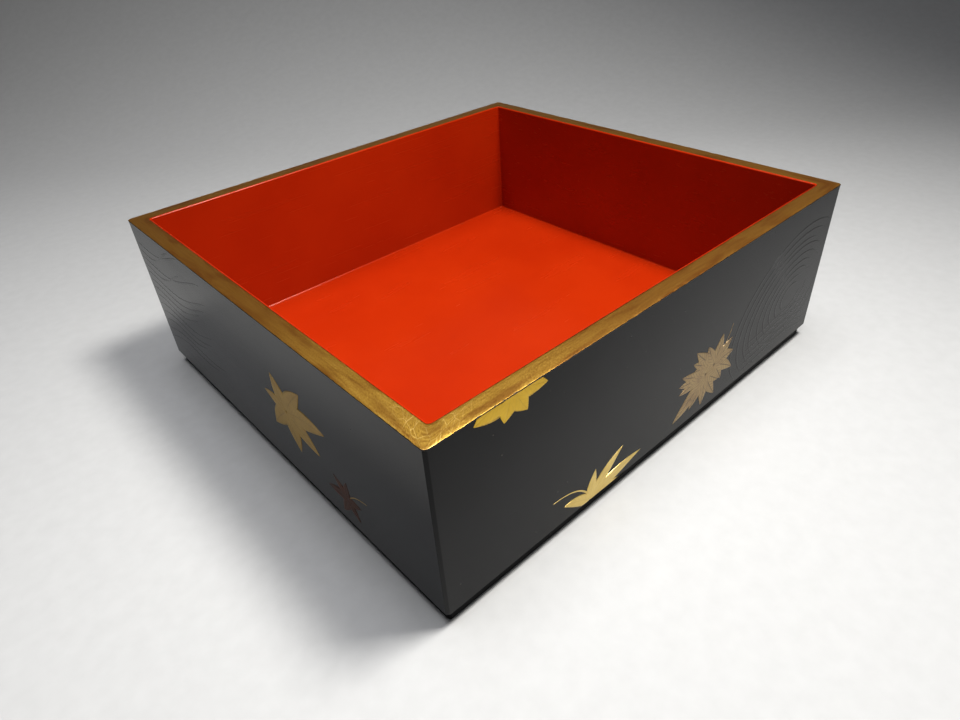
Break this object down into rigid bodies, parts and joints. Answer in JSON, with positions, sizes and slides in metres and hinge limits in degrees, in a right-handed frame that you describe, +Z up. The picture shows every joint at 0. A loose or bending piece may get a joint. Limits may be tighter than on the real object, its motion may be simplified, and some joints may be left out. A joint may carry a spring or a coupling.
{
  "type": "lacquered food box tier",
  "caption": "Open rectangular tier of a stacking lacquered wooden food box: mitred walls, inset foot frame, black outside, vermilion inside, gold rim.",
  "frame": {"origin": "middle of the footprint, on the surface the box stands on, under the foot frame", "axes": "+Z up, out of the open mouth; X along the longer walls; the front wall is at -Y"},
  "size_m": [0.228, 0.212, 0.0765],
  "materials": {
    "wood_core": "planed",
    "feather_wood": "planed",
    "bamboo": "planed",
    "hemp_cloth": "plain weave",
    "lacquer_putty": "matte",
    "black_lacquer": "polished",
    "black_lacquer_foot": "satin",
    "black_lacquer_underside": "satin",
    "vermilion_lacquer": "polished",
    "gold_lacquer": "brushed by hand"
  },
  "bodies": {
    "root": {"wall_front": "wood_core", "wall_right": "wood_core", "wall_back": "wood_core", "wall_left": "wood_core", "bottom_board": "wood_core", "corner_keys": "feather_wood", "bottom_pegs": "bamboo", "foot_dowels": "bamboo", "foot_front": "black_lacquer_foot", "foot_right": "black_lacquer_foot", "foot_back": "black_lacquer_foot", "foot_left": "black_lacquer_foot", "corner_cloth": "hemp_cloth", "corner_putty": "lacquer_putty", "floor_putty": "lacquer_putty", "outer_lacquer": "black_lacquer", "underside_lacquer": "black_lacquer_underside", "inner_lacquer": "vermilion_lacquer", "gold_rim": "gold_lacquer"}
  },
  "joints": []
}
